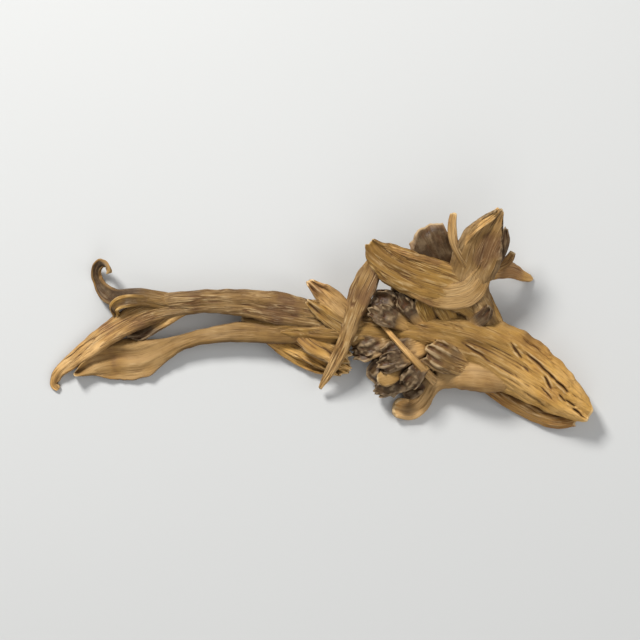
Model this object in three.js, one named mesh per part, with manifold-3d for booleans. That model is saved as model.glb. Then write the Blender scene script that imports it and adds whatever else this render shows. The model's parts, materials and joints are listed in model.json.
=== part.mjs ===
// A dried maitake piece: one thick torn stem base that splits into arms, strands and small frilled caps,
// all grown together as one body. It lies on a surface with its stem base towards +X.
// Millimetres, +Z up, origin under the middle of the piece, on the surface.
import * as THREE from "three";
import { mergeVertices } from "three/addons/utils/BufferGeometryUtils.js";
import Module from "manifold-3d";

const LENGTH = 125; // from the torn base to the hooked tip of the long arm
const DRAWN_LENGTH = 125; // the length at which the stations below are written
const SCALE = LENGTH / DRAWN_LENGTH;
const REST_CUT = 40; // how far below the surface the cut that flattens the resting spots reaches
const FLESH = { color: 0xb48b52, roughness: 0.78, metalness: 0 };
const FRAME_STEPS = 6; // finer steps taken between two rings, so that a twisted spine keeps its frame
const ARC_STEPS = 8; // steps from the middle of a section out to its margin

// A station is [x, y, z, half width, half thickness, roll in degrees, margin curl in degrees].
// rings and columns set how finely a frond is faceted. grooves are the wrinkles that run along it: how many
// to a turn, and how deep as a share of the thickness. pleats fold a thin cap like a fan: how many, and how
// high in mm. frill waves its margin: how many waves, and how high in mm. tip is how far the middle of the
// end stands past its corners, and lobes how many scallops the end has, and how deep in mm.
const FRONDS = {
  trunk: {
    rings: 23, columns: 13, grooves: [7, 0.26], tip: 2.6, lobes: [2, 0.25], seed: 0.4,
    stations: [
      [-18.5, 1.0, 2.6, 1.4, 0.9, 0, 0],
      [-9.0, 0.4, 3.4, 4.6, 2.6, 0, 0],
      [2.0, -0.4, 3.7, 5.3, 3.9, 0, 0],
      [12.5, -1.0, 4.2, 4.6, 3.8, 0, 0],
      [23.5, -2.0, 4.7, 4.8, 4.3, 4, 0],
      [33.5, -4.4, 4.8, 6.4, 5.0, 8, 0],
      [42.5, -8.4, 4.6, 7.8, 5.1, 12, 0],
      [50.5, -13.4, 4.4, 6.8, 4.7, 14, 0],
      [57.5, -18.6, 3.8, 4.9, 3.6, 12, 0],
      [61.8, -21.8, 3.3, 3.4, 2.2, 8, 0],
    ],
  },
  base_fold: {
    rings: 9, columns: 5, grooves: [3, 0.2], tip: 0.6, lobes: [2, 0.3], seed: 1.1,
    stations: [
      [35.0, -12.6, 3.0, 1.4, 1.4, 0, 0],
      [41.5, -16.6, 1.8, 2.2, 1.4, 20, 0],
      [48.0, -20.4, 1.4, 2.4, 1.3, 30, 0],
      [54.0, -22.6, 1.6, 2.4, 1.3, 20, 0],
      [59.2, -22.6, 2.4, 1.7, 1.2, 0, 0],
    ],
  },
  upper_arm: {
    rings: 21, columns: 6, grooves: [5, 0.22], tip: 0.5, lobes: [1, 0.1], seed: 2.3,
    stations: [
      [1.0, 1.0, 4.8, 3.0, 2.2, 0, 0],
      [-9.5, 2.8, 4.8, 3.9, 2.4, 0, 0],
      [-19.5, 4.4, 4.6, 3.1, 1.9, -12, 10],
      [-28.5, 4.5, 4.2, 2.8, 1.6, -20, 20],
      [-37.0, 3.2, 3.6, 3.1, 1.4, -10, 30],
      [-44.3, 0.3, 3.0, 3.0, 1.2, 6, 35],
      [-51.0, -4.0, 2.4, 2.6, 1.1, 14, 35],
      [-56.8, -8.4, 1.8, 2.0, 0.9, 10, 40],
      [-60.9, -11.6, 1.1, 1.4, 0.8, 0, 30],
      [-62.2, -14.4, 0.5, 1.1, 0.7, 0, 10],
      [-61.2, -15.8, 0.4, 0.8, 0.6, 0, 0],
    ],
  },
  lower_arm: {
    rings: 19, columns: 8, grooves: [4, 0.2], pleats: [2, 0.35], frill: [2, 0.5], tip: 1.2, lobes: [1, 0.3], seed: 3.1,
    stations: [
      [1.5, -1.6, 3.8, 2.6, 2.2, 0, 0],
      [-9.0, -2.4, 3.6, 2.8, 2.0, 0, 0],
      [-19.0, -2.4, 3.2, 2.4, 1.4, 10, 10],
      [-27.0, -3.4, 3.0, 1.9, 1.0, 16, 20],
      [-33.0, -5.0, 2.6, 1.9, 0.9, 10, 20],
      [-37.5, -6.9, 1.8, 3.1, 0.8, 4, 10],
      [-42.5, -8.6, 0.9, 4.9, 0.7, 0, 16],
      [-48.0, -9.2, 0.6, 4.8, 0.6, -4, 26],
      [-53.0, -10.8, 1.5, 3.2, 0.5, -6, 30],
      [-57.0, -12.4, 2.8, 1.2, 0.45, 0, 20],
    ],
  },
  left_curl: {
    rings: 18, columns: 5, grooves: [3, 0.15], frill: [3, 0.2], tip: 0.3, lobes: [1, 0.1], seed: 0.9,
    stations: [
      [-29.0, 4.3, 4.0, 1.4, 0.9, 0, 0],
      [-36.5, 5.2, 4.4, 1.7, 0.9, 10, 20],
      [-42.4, 6.0, 4.8, 1.8, 0.7, 20, 40],
      [-47.2, 5.4, 3.2, 2.1, 0.65, 20, 60],
      [-50.4, 7.0, 1.3, 1.9, 0.6, 10, 70],
      [-52.0, 9.8, 0.5, 1.4, 0.6, 0, 70],
      [-52.2, 12.2, 1.6, 1.2, 0.5, 0, 60],
      [-50.9, 13.6, 3.4, 1.1, 0.5, 0, 40],
      [-49.5, 12.9, 4.8, 0.9, 0.45, 0, 20],
      [-48.9, 11.2, 5.0, 0.6, 0.45, 0, 0],
    ],
  },
  inner_curl: {
    rings: 8, columns: 5, grooves: [3, 0.12], frill: [2, 0.3], tip: 0.4, lobes: [1, 0.2], seed: 1.7,
    stations: [
      [-35.0, 3.6, 3.8, 1.2, 0.8, 0, 0],
      [-42.0, 4.6, 5.6, 1.5, 0.6, 0, 40],
      [-46.2, 3.8, 5.8, 1.9, 0.5, 0, 70],
      [-48.2, 1.8, 4.6, 1.6, 0.45, 0, 80],
      [-47.5, 0.2, 3.2, 0.9, 0.4, 0, 60],
    ],
  },
  under_frill: {
    rings: 7, columns: 5, grooves: [2, 0.1], pleats: [2, 0.25], frill: [3, 0.4], tip: 0.6, lobes: [2, 0.3], seed: 2.9,
    stations: [
      [-30.5, 3.4, 3.8, 1.2, 0.8, 0, 0],
      [-37.0, 0.8, 2.6, 1.8, 0.6, 10, 20],
      [-42.2, -1.5, 1.5, 2.1, 0.45, 10, 30],
      [-45.4, -2.4, 1.3, 1.2, 0.4, 0, 20],
    ],
  },
  ragged_low: {
    rings: 9, columns: 8, grooves: [3, 0.12], pleats: [2, 0.35], frill: [2, 0.5], tip: 0.9, lobes: [2, 0.5], seed: 0.2,
    stations: [
      [-13.0, -2.2, 3.2, 2.0, 1.3, 0, 0],
      [-9.0, -4.8, 2.4, 2.8, 0.9, 10, 10],
      [-3.6, -7.5, 1.4, 3.5, 0.65, 10, 20],
      [2.2, -9.7, 0.9, 3.1, 0.5, 0, 30],
      [6.0, -11.4, 1.9, 1.8, 0.45, 0, 30],
    ],
  },
  ragged_high: {
    rings: 7, columns: 7, grooves: [3, 0.12], pleats: [2, 0.35], frill: [2, 0.5], tip: 0.9, lobes: [2, 0.5], seed: 1.4,
    stations: [
      [-5.0, -1.2, 5.0, 2.2, 1.4, 0, 0],
      [-2.0, -4.4, 5.2, 3.2, 0.8, -10, 10],
      [2.4, -6.8, 4.8, 3.1, 0.6, -10, 10],
      [6.4, -8.8, 4.2, 2.0, 0.45, 0, 10],
    ],
  },
  crossing_strand: {
    rings: 13, columns: 5, grooves: [3, 0.2], tip: 0.3, lobes: [1, 0.05], seed: 0.6,
    stations: [
      [12.4, 13.4, 9.2, 2.2, 0.6, 0, 20],
      [10.2, 9.2, 9.4, 2.9, 0.7, 10, 30],
      [8.4, 5.0, 8.8, 2.7, 0.8, 10, 30],
      [6.9, 0.6, 8.1, 2.1, 0.9, 10, 30],
      [5.4, -4.0, 7.2, 1.7, 0.8, 0, 40],
      [3.6, -8.2, 6.0, 1.5, 0.7, 0, 40],
      [1.5, -12.2, 4.2, 1.1, 0.6, 0, 30],
      [-0.4, -15.5, 2.2, 0.5, 0.45, 0, 0],
    ],
  },
  pale_strand: {
    rings: 10, columns: 6, grooves: [2, 0.1], pleats: [2, 0.4], tip: 0.6, lobes: [1, 0.2], seed: 1.9,
    stations: [
      [9.6, -1.8, 6.0, 1.8, 1.2, 0, 0],
      [5.2, 2.4, 7.8, 2.4, 0.8, -10, 20],
      [1.0, 6.2, 8.6, 2.5, 0.65, -16, 30],
      [-1.0, 7.6, 9.4, 1.8, 0.55, -10, 40],
      [-3.0, 9.2, 10.6, 1.0, 0.45, 0, 30],
    ],
  },
  bridging_strand: {
    rings: 8, columns: 4, grooves: [2, 0.1], tip: 0.3, lobes: [1, 0.05], seed: 2.7,
    stations: [
      [27.2, -14.6, 2.6, 1.2, 0.8, 0, 0],
      [23.8, -11.4, 7.2, 1.0, 0.6, 0, 20],
      [19.8, -7.4, 9.0, 0.9, 0.55, 0, 30],
      [16.2, -3.6, 8.8, 0.9, 0.55, 0, 20],
      [12.6, 1.2, 5.4, 1.1, 0.7, 0, 0],
    ],
  },
  lobe_arm: {
    rings: 17, columns: 8, grooves: [3, 0.08], frill: [2, 0.3], tip: 0.9, lobes: [1, 0.3], seed: 0.8,
    stations: [
      [43.4, -13.6, 4.2, 2.6, 2.8, 0, 0],
      [38.0, -12.1, 5.2, 4.5, 3.4, 0, 0],
      [32.4, -11.5, 5.2, 4.3, 3.1, -4, 0],
      [28.4, -12.6, 3.8, 3.1, 2.2, -8, 0],
      [25.9, -14.6, 2.8, 2.0, 1.4, 0, 10],
      [24.6, -16.9, 2.0, 1.7, 1.0, 0, 20],
      [22.8, -19.2, 1.1, 2.2, 0.8, 0, 50],
      [20.0, -20.4, 0.6, 2.7, 0.7, 0, 80],
      [16.6, -19.8, 1.6, 2.4, 0.5, 0, 70],
    ],
  },
  dark_cap_wide: {
    rings: 10, columns: 11, grooves: [3, 0.1], pleats: [3, 0.4], frill: [2, 0.9], tip: 2.2, lobes: [2, 0.5], seed: 0.3,
    stations: [
      [29.5, -7.4, 4.6, 1.6, 1.3, 0, 0],
      [24.2, -8.8, 5.8, 3.2, 0.85, 0, 0],
      [18.8, -10.6, 6.2, 5.1, 0.65, 0, -10],
      [14.0, -12.3, 5.4, 5.7, 0.5, 0, -20],
      [10.8, -13.5, 3.8, 4.7, 0.45, 0, -20],
    ],
  },
  dark_cap_low: {
    rings: 7, columns: 9, grooves: [3, 0.1], pleats: [2, 0.35], frill: [2, 0.7], tip: 1.6, lobes: [2, 0.4], seed: 1.2,
    stations: [
      [28.0, -8.6, 3.8, 1.5, 1.2, 0, 0],
      [24.2, -12.0, 2.8, 2.9, 0.8, 0, 0],
      [20.4, -14.8, 1.8, 3.4, 0.6, 0, 20],
      [17.6, -16.2, 1.6, 2.6, 0.45, 0, 30],
    ],
  },
  dark_cap_high: {
    rings: 7, columns: 9, grooves: [3, 0.1], pleats: [2, 0.35], frill: [2, 0.7], tip: 1.6, lobes: [2, 0.4], seed: 2.1,
    stations: [
      [27.5, -4.6, 5.6, 1.5, 1.2, 0, 0],
      [21.4, -6.0, 7.4, 2.6, 0.8, 0, 10],
      [16.8, -7.6, 8.4, 3.3, 0.6, 0, 20],
      [13.4, -9.0, 8.6, 2.7, 0.45, 0, 30],
    ],
  },
  grey_cap: {
    rings: 7, columns: 9, grooves: [3, 0.1], pleats: [2, 0.35], frill: [2, 0.6], tip: 1.4, lobes: [2, 0.4], seed: 3.3,
    stations: [
      [19.5, -2.2, 5.2, 1.4, 1.1, 0, 0],
      [14.4, -3.5, 6.6, 2.6, 0.8, 0, 10],
      [9.8, -4.8, 6.2, 3.2, 0.6, 0, 0],
      [7.0, -5.8, 4.9, 2.4, 0.45, 0, -20],
    ],
  },
  top_cap_left: {
    rings: 8, columns: 10, grooves: [3, 0.1], pleats: [3, 0.35], frill: [2, 0.8], tip: 1.8, lobes: [2, 0.4], seed: 0.7,
    stations: [
      [23.0, -0.8, 5.8, 1.5, 1.2, 0, 0],
      [18.4, 1.8, 8.0, 3.0, 0.8, 0, 20],
      [14.2, 3.7, 9.0, 3.9, 0.6, 0, 40],
      [11.0, 5.0, 8.8, 3.3, 0.45, 0, 50],
    ],
  },
  top_cap_back: {
    rings: 7, columns: 8, grooves: [3, 0.1], pleats: [2, 0.3], frill: [2, 0.6], tip: 1.4, lobes: [2, 0.4], seed: 1.6,
    stations: [
      [23.5, 0.0, 5.8, 1.5, 1.2, 0, 0],
      [20.0, 4.8, 8.0, 3.1, 0.7, 0, 20],
      [17.0, 8.6, 8.6, 3.1, 0.5, 0, 40],
    ],
  },
  ribbed_cap: {
    rings: 7, columns: 9, grooves: [3, 0.1], pleats: [4, 0.45], frill: [1, 0.3], tip: 1.0, lobes: [2, 0.4], seed: 0.1,
    stations: [
      [34.0, -10.8, 6.4, 1.6, 1.4, 0, 0],
      [30.2, -9.2, 8.2, 2.7, 0.9, -10, -10],
      [27.0, -7.8, 8.9, 3.3, 0.7, -10, -20],
      [24.2, -6.4, 8.5, 2.8, 0.5, -10, -20],
    ],
  },
  fan: {
    rings: 16, columns: 12, grooves: [4, 0.12], pleats: [3, 0.35], frill: [2, 0.5], tip: 0.8, lobes: [1, 0.2], seed: 0.5,
    stations: [
      [39.5, -2.5, 5.2, 3.0, 2.2, 0, 0],
      [35.2, 4.2, 7.4, 4.2, 1.7, 8, -10],
      [29.2, 7.8, 10.2, 4.9, 1.1, 14, -25],
      [22.8, 9.8, 12.4, 5.2, 0.8, 14, -35],
      [17.0, 12.4, 13.4, 4.8, 0.65, 8, -30],
      [12.8, 15.4, 13.2, 3.4, 0.5, 0, -20],
      [10.9, 18.0, 12.4, 1.5, 0.45, 0, -10],
    ],
  },
  back_cap: {
    rings: 6, columns: 8, grooves: [3, 0.1], pleats: [3, 0.4], frill: [2, 0.7], tip: 1.8, lobes: [3, 0.6], seed: 2.0,
    stations: [
      [31.5, 7.6, 7.2, 1.6, 1.2, 0, 0],
      [28.0, 12.4, 8.6, 3.6, 0.8, 0, 10],
      [25.2, 17.0, 9.6, 5.0, 0.6, 0, 15],
      [23.0, 21.6, 10.0, 4.4, 0.5, 0, 10],
    ],
  },
  tall_stem: {
    rings: 13, columns: 9, grooves: [4, 0.2], pleats: [2, 0.35], frill: [2, 0.4], tip: 0.9, lobes: [1, 0.3], seed: 1.3,
    stations: [
      [39.0, -3.5, 5.2, 2.8, 2.2, 0, 0],
      [35.6, 3.0, 7.4, 3.7, 2.0, -8, 0],
      [33.6, 9.0, 9.4, 4.7, 1.4, -14, 15],
      [34.9, 14.2, 11.2, 5.9, 1.0, -14, 35],
      [36.4, 18.8, 12.8, 5.2, 0.75, -10, 50],
      [38.4, 22.4, 14.2, 3.4, 0.6, -6, 50],
      [40.2, 25.2, 15.4, 1.5, 0.45, 0, 30],
    ],
  },
  twig: {
    rings: 11, columns: 5, grooves: [3, 0.2], tip: 0.4, lobes: [1, 0.1], seed: 2.2,
    stations: [
      [33.0, 9.6, 8.8, 2.2, 1.5, 0, 0],
      [38.5, 11.8, 8.4, 2.2, 1.2, 10, 10],
      [43.0, 11.9, 5.6, 1.7, 0.9, 0, 20],
      [46.4, 10.7, 2.2, 1.2, 0.7, 0, 20],
      [48.8, 10.0, 0.1, 0.9, 0.6, 0, 0],
    ],
  },
  twig_prong: {
    rings: 5, columns: 4, grooves: [2, 0.1], tip: 0.3, lobes: [1, 0.1], seed: 2.6,
    stations: [
      [39.0, 11.8, 8.0, 1.3, 0.9, 0, 0],
      [42.4, 13.8, 8.0, 1.1, 0.7, 0, 20],
      [43.7, 15.9, 8.8, 0.7, 0.45, 0, 20],
    ],
  },
  dark_nib: {
    rings: 6, columns: 6, grooves: [2, 0.1], frill: [1, 0.3], tip: 0.4, lobes: [1, 0.2], seed: 1.8,
    stations: [
      [33.5, -1.4, 6.8, 1.4, 1.0, 0, 0],
      [35.8, 0.2, 8.6, 1.6, 0.7, 0, 20],
      [37.4, 1.8, 9.6, 1.5, 0.5, 0, 40],
      [38.3, 3.5, 10.4, 0.9, 0.45, 0, 40],
    ],
  },
  gold_cap_left: {
    rings: 6, columns: 8, grooves: [2, 0.1], pleats: [2, 0.25], frill: [1, 0.4], tip: 0.9, lobes: [1, 0.4], seed: 0.9,
    stations: [
      [25.6, -1.2, 6.2, 1.5, 1.0, 0, 0],
      [23.6, 2.6, 8.8, 2.4, 0.7, 0, 20],
      [22.4, 5.6, 9.8, 2.3, 0.5, 0, 30],
    ],
  },
  gold_cap_right: {
    rings: 6, columns: 8, grooves: [2, 0.1], pleats: [2, 0.25], frill: [1, 0.4], tip: 0.9, lobes: [1, 0.4], seed: 2.4,
    stations: [
      [30.5, -1.0, 6.6, 1.5, 1.0, 0, 0],
      [28.0, 2.8, 8.6, 2.3, 0.7, 0, 10],
      [26.2, 5.8, 9.4, 2.1, 0.5, 0, 30],
    ],
  },
};

const wasm = await Module();
wasm.setup();

// The station at share t of the way along a frond, on a smooth curve through all of them.
function stationAt(stations, t) {
  const last = stations.length - 1;
  const place = Math.min(t * last, last - 1e-9);
  const k = Math.floor(place);
  const s = place - k;
  const row = (i) => {
    if (i < 0) return stations[0].map((v, n) => 2 * v - stations[1][n]);
    if (i > last) return stations[last].map((v, n) => 2 * v - stations[last - 1][n]);
    return stations[i];
  };
  const [a, b, c, d] = [row(k - 1), row(k), row(k + 1), row(k + 2)];
  return b.map((v, n) => {
    const slope = (c[n] - a[n]) / 2;
    const nextSlope = (d[n] - v) / 2;
    const rise = c[n] - v;
    return v + slope * s + (3 * rise - 2 * slope - nextSlope) * s * s + (slope + nextSlope - 2 * rise) * s ** 3;
  });
}

// From the middle of a section out to share u of its half width, with the margin turning by curl.
function acrossSection(u, halfWidth, curl) {
  let side = 0;
  let lift = 0;
  for (let k = 0; k < ARC_STEPS; k++) {
    const s = (u * (k + 0.5)) / ARC_STEPS;
    const angle = curl * s * Math.abs(s);
    side += (Math.cos(angle) * halfWidth * u) / ARC_STEPS;
    lift += (Math.sin(angle) * halfWidth * u) / ARC_STEPS;
  }
  return { side, lift, slope: curl * u * Math.abs(u) };
}

// How much of the thickness a wrinkle takes away at turn q (0 to 1) round the section and share v along it.
function grooveDepth(frond, q, v) {
  const [count, depth] = frond.grooves;
  const drift = frond.seed * 2 + 0.5 * Math.sin(5 * v + frond.seed * 3);
  const broad = 1 - Math.abs(Math.sin(Math.PI * count * q + drift));
  const second = 1 - Math.abs(Math.sin(Math.PI * (count + 3) * q - 1.7 * drift));
  return depth * (broad + 0.6 * second * second);
}

// The folds and the waved margin of a thin cap, in mm along its normal.
function sheetHeight(frond, u, v) {
  const spread = THREE.MathUtils.smoothstep(v, 0.3, 0.8);
  const margin = Math.max(u * u, THREE.MathUtils.smoothstep(v, 0.7, 1) ** 2);
  let height = 0;
  if (frond.pleats) {
    const [count, rise] = frond.pleats;
    height += rise * spread * Math.sin(Math.PI * count * u + frond.seed * 4);
  }
  if (frond.frill) {
    const [count, rise] = frond.frill;
    height += rise * margin * spread * Math.sin(2 * Math.PI * count * (v * 0.7 + 0.35 * u) + frond.seed * 5);
  }
  return height;
}

// How far the end of a frond reaches past its last station at share u of its half width.
function endReach(frond, u, v) {
  const [count, depth] = frond.lobes;
  const near = THREE.MathUtils.smoothstep(v, 0.6, 1);
  return near * (-frond.tip * u * u + depth * Math.cos(Math.PI * count * u + frond.seed * 6));
}

// The moving frame along a frond: its point, its direction, the way across it and the way up from it.
function frames(frond) {
  const steps = frond.rings * FRAME_STEPS;
  const place = (t) => new THREE.Vector3(...stationAt(frond.stations, THREE.MathUtils.clamp(t, 0, 1)));
  const up = new THREE.Vector3(0, 0, 1);
  const found = [];
  for (let k = 0; k <= steps; k++) {
    const t = k / steps;
    const along = place(t + 0.5 / steps).sub(place(t - 0.5 / steps)).normalize();
    up.addScaledVector(along, -up.dot(along)).normalize();
    if (k % FRAME_STEPS) continue;
    const [, , , halfWidth, halfThickness, roll, curl] = stationAt(frond.stations, t);
    const turned = up.clone().applyAxisAngle(along, THREE.MathUtils.degToRad(roll));
    found.push({
      v: t,
      point: place(t),
      along,
      up: turned,
      across: turned.clone().cross(along).normalize(),
      halfWidth: Math.max(halfWidth, 0.3),
      halfThickness: Math.max(halfThickness, 0.4),
      curl: THREE.MathUtils.degToRad(curl),
    });
  }
  return found;
}

// One frond as a closed shell: an upper and a lower face that share their margins, cut into triangles alike.
function frondGeometry(frond) {
  const { rings, columns } = frond;
  const upper = [];
  const lower = [];
  for (const f of frames(frond)) {
    const flatness = THREE.MathUtils.clamp(f.halfWidth / f.halfThickness, 1, 6);
    const rowUp = [];
    const rowDown = [];
    for (let i = 0; i <= columns; i++) {
      const u = -Math.cos((Math.PI * i) / columns);
      const { side, lift, slope } = acrossSection(u, f.halfWidth, f.curl);
      const height = lift + sheetHeight(frond, u, f.v);
      const full = Math.sqrt(Math.max(0, 1 - Math.abs(u) ** (1 + flatness)));
      const put = (sign) => {
        const q = sign > 0 ? i / (2 * columns) : 1 - i / (2 * columns);
        const groove = grooveDepth(frond, q, f.v);
        const thick = sign * f.halfThickness * full * (1 - groove);
        return f.point
          .clone()
          .addScaledVector(f.across, side * (1 - 0.5 * groove * u ** 4) - thick * Math.sin(slope))
          .addScaledVector(f.up, height + thick * Math.cos(slope))
          .addScaledVector(f.along, endReach(frond, u, f.v));
      };
      rowUp.push(put(1));
      rowDown.push(i === 0 || i === columns ? rowUp[i] : put(-1));
    }
    upper.push(rowUp);
    lower.push(rowDown);
  }
  const triangles = [];
  const quad = (a, b, c, d) => triangles.push(a, b, c, a, c, d);
  for (let j = 0; j < rings; j++) {
    for (let i = 0; i < columns; i++) {
      const [p, q] = [upper, lower];
      quad(p[j][i], p[j][i + 1], p[j + 1][i + 1], p[j + 1][i]);
      triangles.push(q[j][i], q[j + 1][i + 1], q[j][i + 1], q[j][i], q[j + 1][i], q[j + 1][i + 1]);
    }
  }
  for (let i = 0; i < columns; i++) {
    quad(upper[0][i], lower[0][i], lower[0][i + 1], upper[0][i + 1]);
    quad(lower[rings][i], upper[rings][i], upper[rings][i + 1], lower[rings][i + 1]);
  }
  return new THREE.BufferGeometry().setFromPoints(triangles);
}

// A closed geometry as a solid that can be joined and cut.
function solidOf(geometry) {
  const bare = geometry.clone();
  bare.deleteAttribute("normal");
  bare.deleteAttribute("uv");
  const merged = mergeVertices(bare, 1e-4);
  const position = merged.attributes.position.array;
  const corners = [...merged.index.array];
  const kept = [];
  for (let i = 0; i < corners.length; i += 3) {
    const [a, b, c] = corners.slice(i, i + 3);
    if (a !== b && b !== c && a !== c) kept.push(a, b, c);
  }
  const mesh = { numProp: 3, vertProperties: new Float32Array(position), triVerts: new Uint32Array(kept) };
  const solid = new wasm.Manifold(new wasm.Mesh(mesh));
  if (solid.volume() > 0) return solid;
  for (let i = 0; i < kept.length; i += 3) [kept[i + 1], kept[i + 2]] = [kept[i + 2], kept[i + 1]];
  return new wasm.Manifold(new wasm.Mesh({ ...mesh, triVerts: new Uint32Array(kept) }));
}

// A solid back as a geometry for a mesh.
function geometryOf(solid) {
  const { vertProperties, triVerts } = solid.getMesh();
  return new THREE.BufferGeometry()
    .setAttribute("position", new THREE.BufferAttribute(vertProperties, 3))
    .setIndex(new THREE.BufferAttribute(triVerts, 1));
}

// All fronds joined where they grow from each other, and cut level where the piece rests.
function maitakeGeometry() {
  let body = null;
  for (const frond of Object.values(FRONDS)) {
    const solid = solidOf(frondGeometry(frond));
    body = body ? body.add(solid) : solid;
  }
  const below = new THREE.BoxGeometry(2 * DRAWN_LENGTH, DRAWN_LENGTH, REST_CUT);
  below.translate(0, 0, -REST_CUT / 2);
  const rested = body.subtract(solidOf(below));
  const geometry = geometryOf(rested);
  geometry.scale(SCALE, SCALE, SCALE);
  return geometry;
}

const part = new THREE.Group();
const maitake = new THREE.Mesh(maitakeGeometry(), new THREE.MeshStandardMaterial(FLESH));
maitake.name = "maitake";
part.add(maitake);

export default part;
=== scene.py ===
import json
import math

import bmesh
import bpy
import numpy
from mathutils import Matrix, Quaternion, Vector, noise
from mathutils.bvhtree import BVHTree

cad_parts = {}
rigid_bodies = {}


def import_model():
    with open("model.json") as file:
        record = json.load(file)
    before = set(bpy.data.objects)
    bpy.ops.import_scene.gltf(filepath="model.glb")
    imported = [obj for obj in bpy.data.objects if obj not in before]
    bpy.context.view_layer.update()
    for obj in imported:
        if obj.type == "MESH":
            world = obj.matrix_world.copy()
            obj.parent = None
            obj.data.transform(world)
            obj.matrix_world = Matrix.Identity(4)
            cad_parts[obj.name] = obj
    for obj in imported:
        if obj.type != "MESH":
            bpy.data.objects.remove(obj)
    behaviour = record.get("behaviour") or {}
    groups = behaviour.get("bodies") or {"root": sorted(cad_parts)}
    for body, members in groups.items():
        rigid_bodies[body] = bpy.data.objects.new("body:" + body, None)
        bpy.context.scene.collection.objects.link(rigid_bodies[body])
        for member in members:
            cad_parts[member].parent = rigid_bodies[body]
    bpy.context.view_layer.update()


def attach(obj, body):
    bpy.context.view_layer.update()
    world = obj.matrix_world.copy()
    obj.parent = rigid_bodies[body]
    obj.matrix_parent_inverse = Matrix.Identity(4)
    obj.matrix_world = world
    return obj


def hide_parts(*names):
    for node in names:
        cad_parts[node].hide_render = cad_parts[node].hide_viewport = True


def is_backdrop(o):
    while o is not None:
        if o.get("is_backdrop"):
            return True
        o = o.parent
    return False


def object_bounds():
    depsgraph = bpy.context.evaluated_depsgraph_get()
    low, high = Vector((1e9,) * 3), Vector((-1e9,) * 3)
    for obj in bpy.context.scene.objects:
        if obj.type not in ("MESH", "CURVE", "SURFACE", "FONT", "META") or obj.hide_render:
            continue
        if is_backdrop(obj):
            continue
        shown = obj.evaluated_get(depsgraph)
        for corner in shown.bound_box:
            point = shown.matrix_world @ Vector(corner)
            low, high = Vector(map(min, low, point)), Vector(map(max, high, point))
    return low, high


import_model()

mm = 0.001

# The dried piece grew as one body: a torn stem base that splits into arms, strands and small frilled caps.
# Lengths are in millimetres. path: stations of x, y, z, half width, half thickness, roll and margin curl, the
# last two in degrees. grooves: wrinkles round the section and their depth as a share of the thickness. pleats
# and frill: waves across a thin cap and round its margin, and their height. tip: how far the middle of the
# end stands past its corners. lobes: scallops of the end and their depth. ruffle: height of the fine waves at
# the margin. droop: how far the end bends down. crumple: height of the lumps on a cap. crease: depth of the
# shrunken skin's wrinkles. shade: how dark the upper face is at the root and at the tip, where the dark
# begins, how dark the margin is, and what share of it the lower face has. tone: brightness at the root and at
# the tip, and where it changes. gold, russet, lined: how yellow, how red, how strong the dark lines are.
usual = {  # what a frond has where its own row says nothing
    "grooves": (2, 0.1), "tip": 0.6, "lobes": (2, 0.3), "ruffle": 0.25, "droop": 0, "crumple": 0,
    "crease": 0.1, "tone": (1, 1, 0), "gold": 0.6, "russet": 0, "lined": 0.6,
}
smallCap = {  # and what a small dark cap has
    "grooves": (2, 0.04), "pleats": (2, 0.15), "frill": (2, 0.4), "tip": 1.2, "lobes": (2, 0.4),
    "ruffle": 0.45, "droop": 0.8, "crumple": 0.8, "crease": 0.04, "shade": (0.2, 1, 0.3, 1, 0.45),
    "gold": 0.1, "lined": 0.15,
}
lobedCap = {
    **smallCap, "frill": (3, 0.4), "lobes": (3, 0.5), "shade": (0.3, 1, 0.2, 1, 0.5),
}
ragged = {
    "grooves": (3, 0.12), "pleats": (2, 0.35), "frill": (2, 0.5), "tip": 0.9, "lobes": (2, 0.5),
    "ruffle": 0.3, "crease": 0.16, "lined": 1,
}
goldCap = {
    "pleats": (2, 0.25), "frill": (1, 0.4), "tip": 0.9, "lobes": (1, 0.4),
    "shade": (0.05, 0.2, 0.5, 0.5, 1), "tone": (0.6, 0.72, 0.4),
}

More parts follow.
